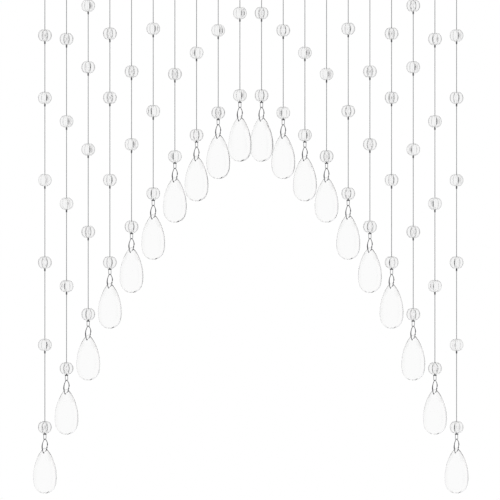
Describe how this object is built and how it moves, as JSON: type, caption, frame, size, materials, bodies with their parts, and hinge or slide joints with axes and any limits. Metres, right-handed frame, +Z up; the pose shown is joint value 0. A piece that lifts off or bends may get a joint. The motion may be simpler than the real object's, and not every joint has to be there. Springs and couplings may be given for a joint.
{
  "type": "bead curtain",
  "caption": "Clear bead curtain with strings of fluted beads that end in teardrops along an arch, long at both sides.",
  "frame": {"origin": "middle of the heading tape's top edge, in the plane of the strings", "axes": "+X along the heading to the viewer's right, +Y to the back, +Z up; the strings hang towards -Z"},
  "size_m": [0.5028, 0.016, 0.6141],
  "materials": {
    "heading_tape": "woven matt",
    "grey_line": "fine braided cord",
    "clear_acrylic": "polished clear",
    "crimp_metal": "dark nickel",
    "bail_wire": "dark silver"
  },
  "bodies": {
    "root": {"beaded_strings": "clear_acrylic", "bail_01": "bail_wire", "bail_02": "bail_wire", "bail_03": "bail_wire", "bail_04": "bail_wire", "bail_05": "bail_wire", "bail_06": "bail_wire", "bail_07": "bail_wire", "bail_08": "bail_wire", "bail_09": "bail_wire", "bail_10": "bail_wire", "bail_11": "bail_wire", "bail_12": "bail_wire", "bail_13": "bail_wire", "bail_14": "bail_wire", "bail_15": "bail_wire", "bail_16": "bail_wire", "bail_17": "bail_wire", "bail_18": "bail_wire", "bail_19": "bail_wire", "bail_20": "bail_wire", "drop_01": "clear_acrylic", "drop_02": "clear_acrylic", "drop_03": "clear_acrylic", "drop_04": "clear_acrylic", "drop_05": "clear_acrylic", "drop_06": "clear_acrylic", "drop_07": "clear_acrylic", "drop_08": "clear_acrylic", "drop_09": "clear_acrylic", "drop_10": "clear_acrylic", "drop_11": "clear_acrylic", "drop_12": "clear_acrylic", "drop_13": "clear_acrylic", "drop_14": "clear_acrylic", "drop_15": "clear_acrylic", "drop_16": "clear_acrylic", "drop_17": "clear_acrylic", "drop_18": "clear_acrylic", "drop_19": "clear_acrylic", "drop_20": "clear_acrylic"}
  },
  "joints": []
}
